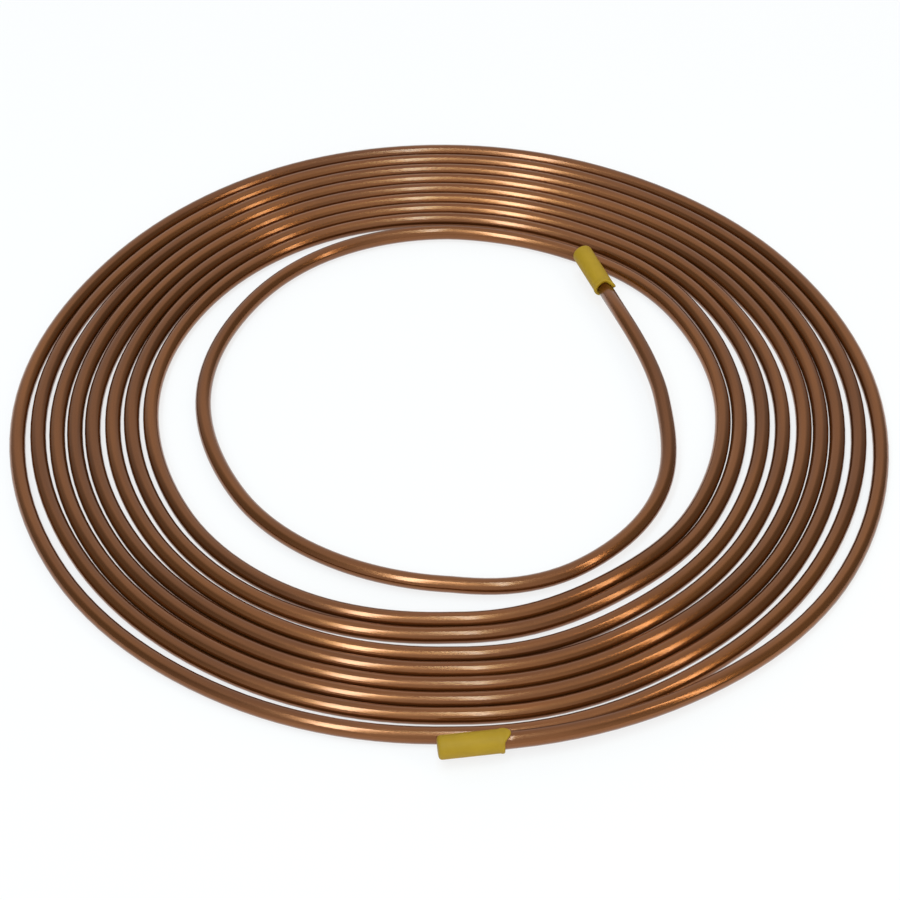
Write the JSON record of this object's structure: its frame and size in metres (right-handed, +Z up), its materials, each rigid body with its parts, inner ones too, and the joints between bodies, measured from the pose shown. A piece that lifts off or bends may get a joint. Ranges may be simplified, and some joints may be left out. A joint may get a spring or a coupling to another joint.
{
  "type": "brake line tubing",
  "caption": "Flat spiral coil of thin copper alloy brake tube lying loose on a surface, its inner end sprung free across the turns, both ends closed by push-on plastic caps",
  "frame": {"origin": "middle of the coil's footprint, on the surface it lies on", "axes": "+Z up out of the flat coil, +X to the coil's right with the outer end cap at the front (-Y), +Y to the back, where the free inner end lies on the turns"},
  "size_m": [0.3514, 0.3342, 0.0152],
  "materials": {
    "copper_alloy": "drawn copper alloy, brown, lightly tarnished, with soft bright streaks",
    "cap_vinyl": "plain yellow soft vinyl, slightly dull"
  },
  "bodies": {
    "root": {"brake_tube": "copper_alloy", "outer_end_cap": "cap_vinyl", "inner_end_cap": "cap_vinyl"}
  },
  "joints": []
}
